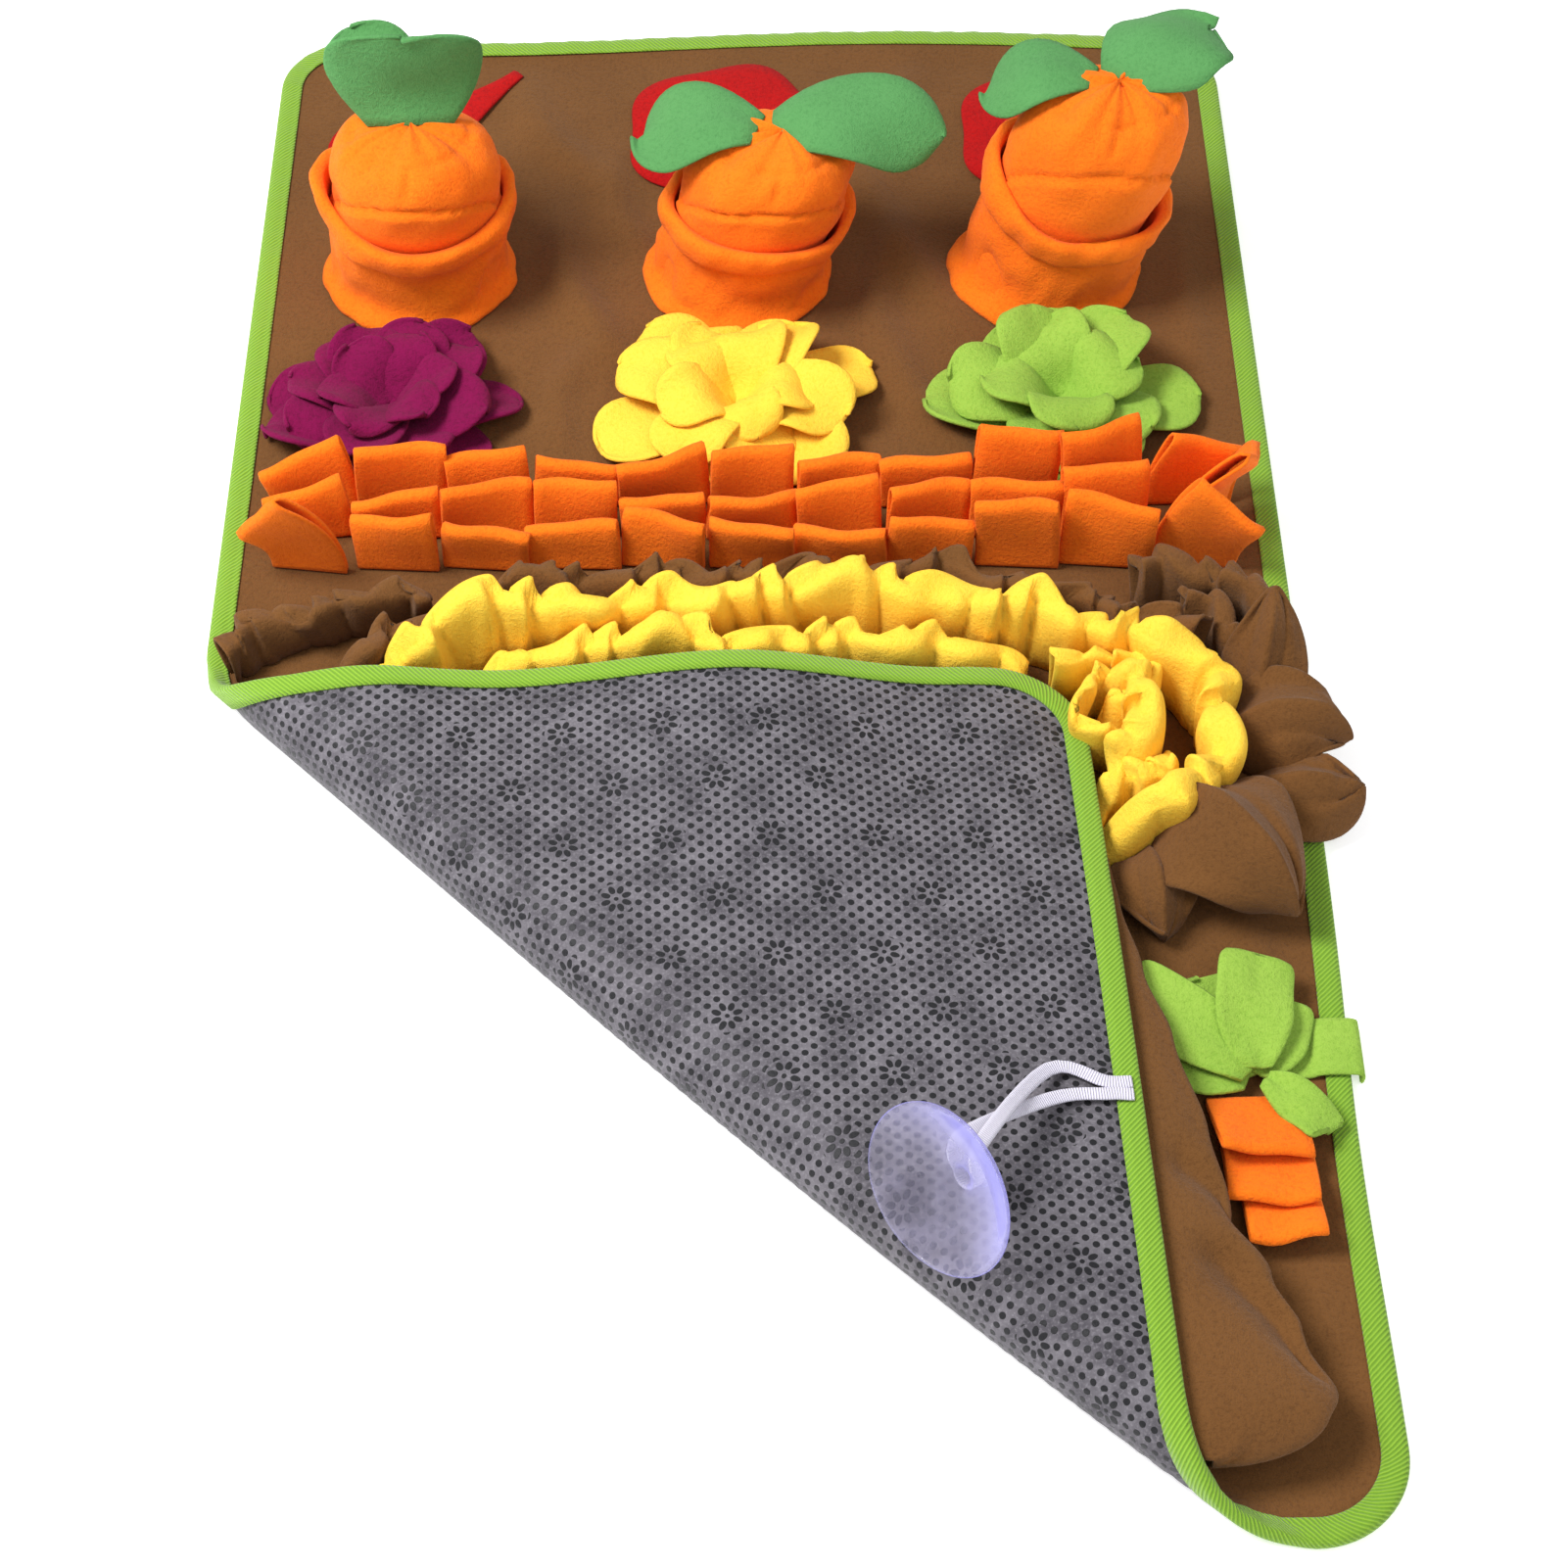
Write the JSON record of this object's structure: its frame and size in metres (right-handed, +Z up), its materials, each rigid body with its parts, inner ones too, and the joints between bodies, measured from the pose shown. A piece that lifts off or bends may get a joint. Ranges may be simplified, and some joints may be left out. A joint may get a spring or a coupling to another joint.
{
  "type": "snuffle mat",
  "caption": "Bound felt and fleece mat for a pet's nose work, a corner folded over, with carrots in pockets, fleece flowers, a fringe, gathered ruffles and a suction cup on elastic.",
  "frame": {"origin": "the middle of the mat's outline laid flat, on the floor", "axes": "+X along the mat's width, to the right in the picture; +Y along its length, away from the folded corner; +Z up"},
  "size_m": [0.5077, 0.8844, 0.1594],
  "materials": {
    "felt": "grey needled felt with rubber dots",
    "brown_fleece": "short pile fleece",
    "green_tape": "twill tape",
    "orange_fleece": "short pile fleece",
    "red_fleece": "short pile fleece",
    "leaf_fleece": "short pile fleece",
    "purple_fleece": "short pile fleece",
    "yellow_fleece": "short pile fleece",
    "lime_fleece": "short pile fleece",
    "clear_plastic": "clear soft PVC with a violet tint",
    "white_elastic": "flat woven elastic"
  },
  "bodies": {
    "root": {"felt_base": "felt", "fleece_top": "brown_fleece", "fleece_slack": "brown_fleece", "brown_ruffle": "brown_fleece", "brown_petal_1": "brown_fleece", "brown_petal_2": "brown_fleece", "brown_petal_3": "brown_fleece", "brown_petal_4": "brown_fleece", "brown_petal_5": "brown_fleece", "binding_tape": "green_tape", "red_pod": "red_fleece", "red_scallop_middle": "red_fleece", "red_scallop_right": "red_fleece", "pocket_left": "orange_fleece", "pocket_middle": "orange_fleece", "pocket_right": "orange_fleece", "carrot_left": "orange_fleece", "carrot_middle": "orange_fleece", "carrot_right": "orange_fleece", "fringe_front": "orange_fleece", "fringe_middle": "orange_fleece", "fringe_back": "orange_fleece", "carrot_strip_1": "orange_fleece", "carrot_strip_2": "orange_fleece", "carrot_strip_3": "orange_fleece", "leaf_left_front": "leaf_fleece", "leaf_left_back": "leaf_fleece", "leaf_middle_left": "leaf_fleece", "leaf_middle_right": "leaf_fleece", "leaf_right_left": "leaf_fleece", "leaf_right_over": "leaf_fleece", "purple_petals_1": "purple_fleece", "purple_petals_2": "purple_fleece", "purple_petals_3": "purple_fleece", "yellow_petals_1": "yellow_fleece", "yellow_petals_2": "yellow_fleece", "yellow_petals_3": "yellow_fleece", "lime_petals_1": "lime_fleece", "lime_petals_2": "lime_fleece", "lime_petals_3": "lime_fleece", "yellow_ruffle_outer": "yellow_fleece", "yellow_ruffle_inner": "yellow_fleece", "lime_leaf_1": "lime_fleece", "lime_leaf_2": "lime_fleece", "lime_leaf_3": "lime_fleece", "lime_leaf_4": "lime_fleece", "lime_leaf_5": "lime_fleece", "lime_leaf_6": "lime_fleece", "edge_strap": "lime_fleece", "suction_cup": "clear_plastic", "elastic_loop": "white_elastic"}
  },
  "joints": []
}
